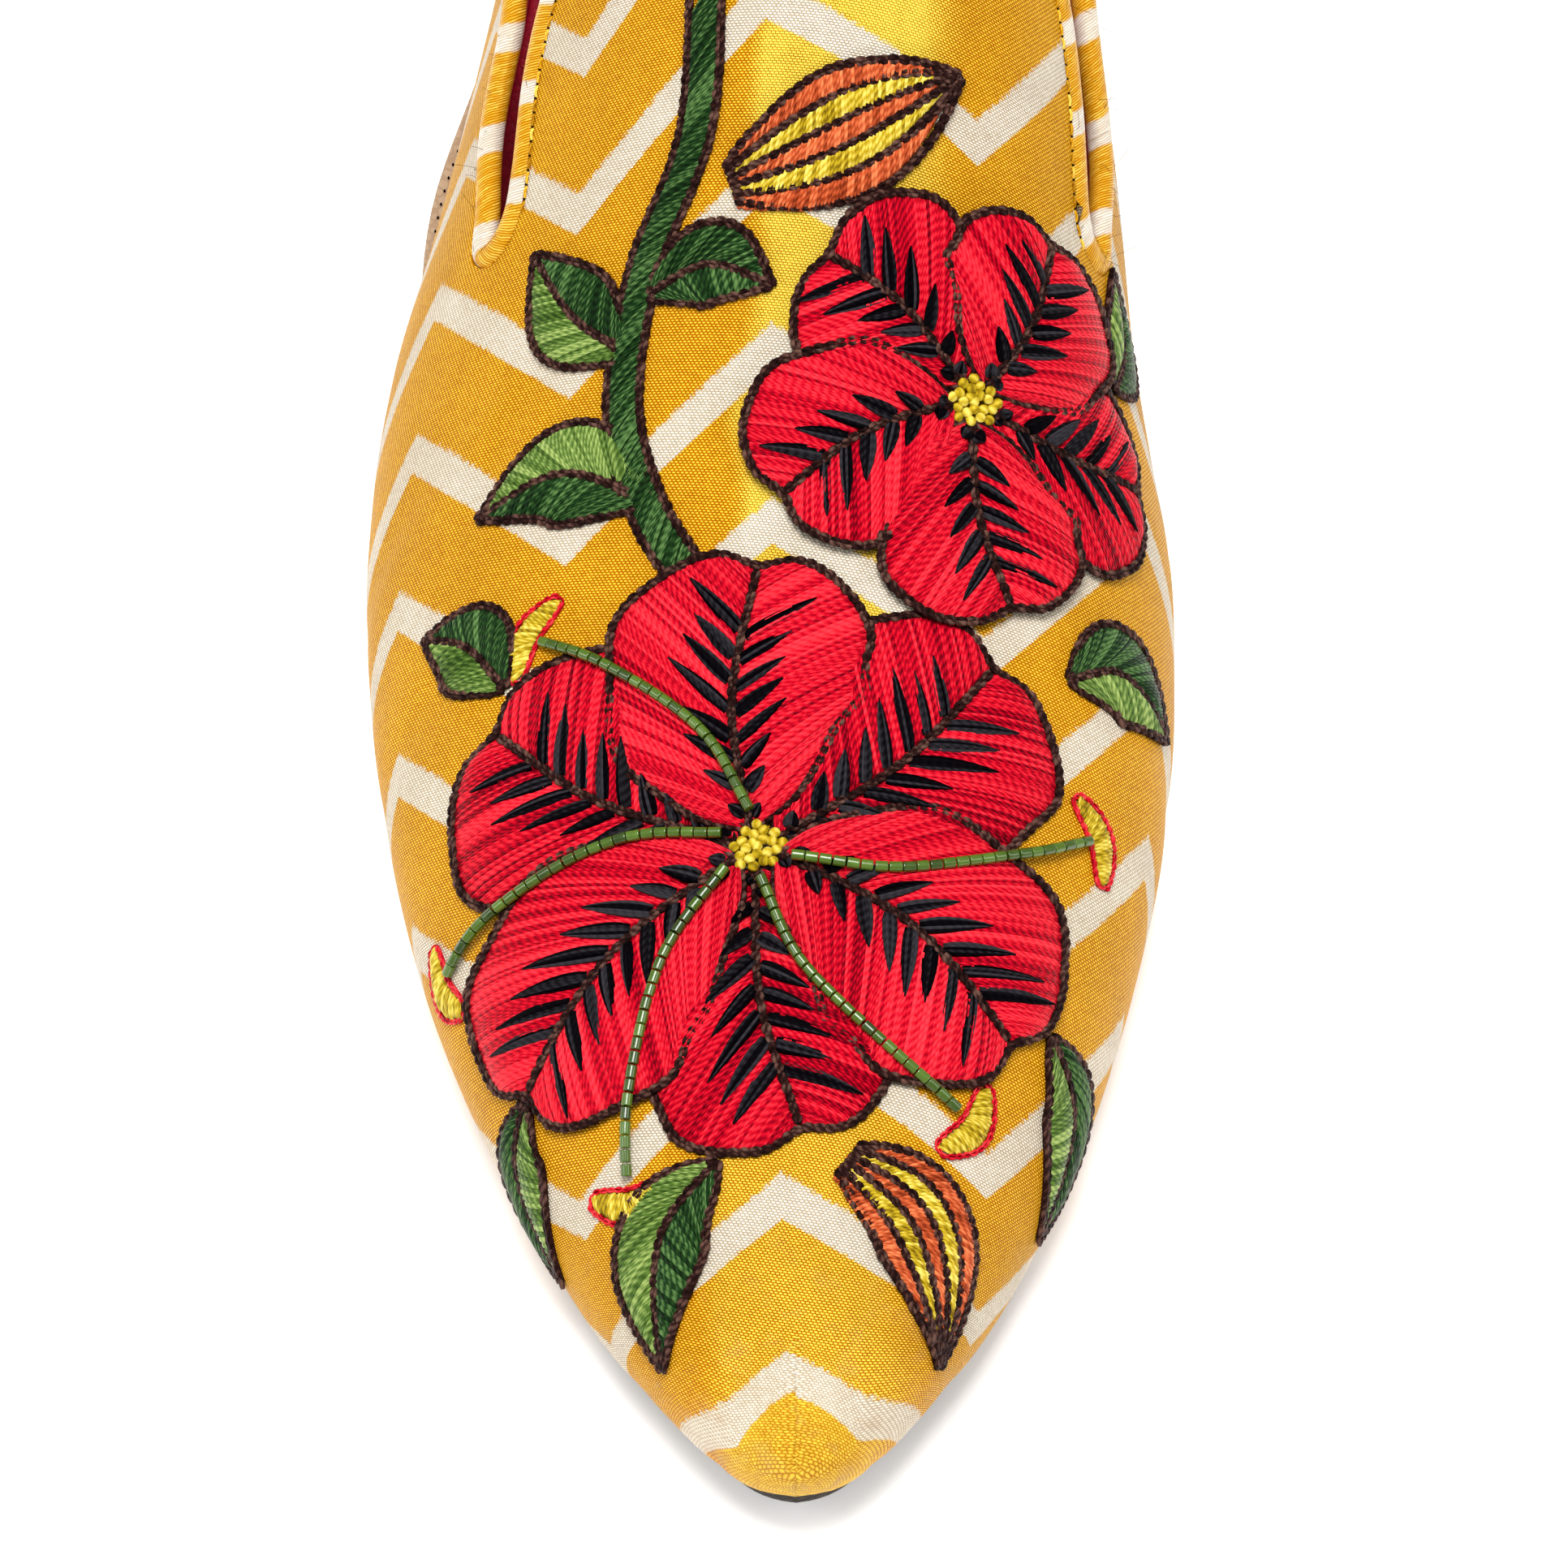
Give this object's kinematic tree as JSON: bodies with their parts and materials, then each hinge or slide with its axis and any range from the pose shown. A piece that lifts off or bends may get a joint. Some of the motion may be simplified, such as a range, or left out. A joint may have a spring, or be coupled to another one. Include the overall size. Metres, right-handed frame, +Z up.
{
  "type": "cone heel mule",
  "caption": "Backless pointed mule with a raised tongue between bound side slits, a curved sole and insole, and a tapered cone heel.",
  "frame": {"origin": "centre of the shoe's box at the floor: it stands on Z = 0 on the ball of its outsole and on its heel tip", "axes": "-Y towards the toe, +Y towards the heel, +X towards the inner (big toe) side of this right shoe, +Z up"},
  "size_m": [0.0845, 0.2448, 0.0955],
  "materials": {
    "satin": "woven satin with a zigzag band",
    "binding_satin": "rolled satin cord",
    "insole_leather": "smooth burgundy",
    "sole_leather": "smooth natural",
    "heel_satin": "satin stretched over the heel",
    "heel_rubber": "matt"
  },
  "bodies": {
    "root": {"upper": "satin", "binding": "binding_satin", "insole": "insole_leather", "outsole": "sole_leather", "heel": "heel_satin", "heel_tip": "heel_rubber"}
  },
  "joints": []
}
